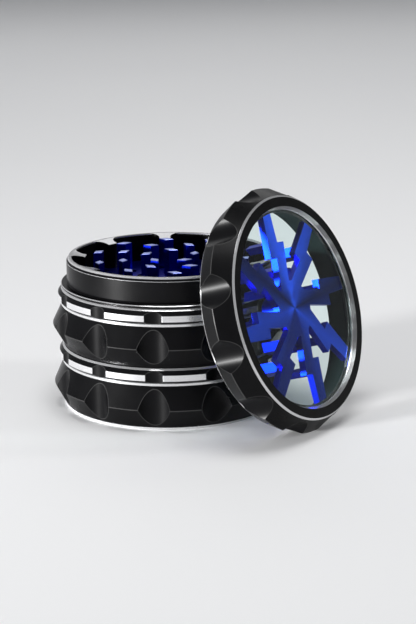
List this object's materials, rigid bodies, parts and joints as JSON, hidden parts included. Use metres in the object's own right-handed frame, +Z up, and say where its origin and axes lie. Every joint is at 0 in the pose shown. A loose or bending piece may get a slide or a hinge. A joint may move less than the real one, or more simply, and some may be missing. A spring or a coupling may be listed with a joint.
{
  "type": "hand grinder",
  "caption": "Round stacked hand grinder with fluted black bodies, blue tooth plate, and a clear-window lid that stands leaning beside the stack.",
  "frame": {"origin": "centre of the flat foot of the kief chamber, on the surface that the grinder stands on", "axes": "+Z up along the stack's axis; -Y towards the viewer; the leaning lid is on the +X, -Y side"},
  "size_m": [0.0817, 0.0823, 0.0601],
  "materials": {
    "black_anodised": "satin black anodised, edges and ring faces cut bright",
    "blue_anodised": "royal blue anodised",
    "steel": "plain stainless",
    "nickel": "nickel plated",
    "clear_window": "clear polished acrylic",
    "nylon": "low-friction black nylon",
    "silicone": "soft black silicone"
  },
  "bodies": {
    "base": {"kief_chamber": "black_anodised"},
    "storage_lift": {"screen_ring": "steel"},
    "storage": {"storage_chamber": "black_anodised", "mesh_screen": "steel", "screen_gasket": "silicone"},
    "tray_lift": {"tray_magnet": "nickel"},
    "tray": {"grinding_rim": "black_anodised", "tooth_plate": "blue_anodised", "outer_teeth": "blue_anodised", "middle_teeth": "blue_anodised", "inner_teeth": "blue_anodised", "plate_screws": "steel", "magnet_cap": "steel"},
    "lid_carrier": {"glide_ring": "nylon"},
    "lid": {"lid_shell": "black_anodised", "lid_window": "clear_window", "window_gasket": "silicone", "star_plate": "blue_anodised", "lid_inner_posts": "blue_anodised", "lid_outer_posts": "blue_anodised", "pivot_post": "blue_anodised", "pivot_screw": "steel", "lid_magnet": "nickel"}
  },
  "joints": [
    {"name": "storage_rise", "type": "slide", "parent": "base", "child": "storage_lift", "axis": [0, 0, 1], "range_m": [0, 0.002]},
    {"name": "storage_turn", "type": "hinge", "parent": "storage_lift", "child": "storage", "pos_m": [0, 0, 0.0167], "axis": [0, 0, 1], "range_deg": [0, 720]},
    {"name": "tray_rise", "type": "slide", "parent": "storage", "child": "tray_lift", "axis": [0, 0, 1], "range_m": [0, 0.002]},
    {"name": "tray_turn", "type": "hinge", "parent": "tray_lift", "child": "tray", "pos_m": [0, 0, 0.0322], "axis": [0, 0, 1], "range_deg": [0, 720]},
    {"name": "lid_swing", "type": "hinge", "parent": "base", "child": "lid_carrier", "pos_m": [-0.00406, 0.00921, 0.02027], "axis": [-0.3018, -0.8893, 0.3436], "range_deg": [0, 77.99]},
    {"name": "lid_spin", "type": "hinge", "parent": "lid_carrier", "child": "lid", "pos_m": [0.03277, -0.02676, 0.03151], "axis": [0.7877, -0.5372, 0.3015], "continuous": true}
  ],
  "couplings": [
    {"joint": "storage_rise", "follows": "storage_turn", "m_per_rad": 0.000159},
    {"joint": "tray_rise", "follows": "tray_turn", "m_per_rad": 0.000159}
  ]
}
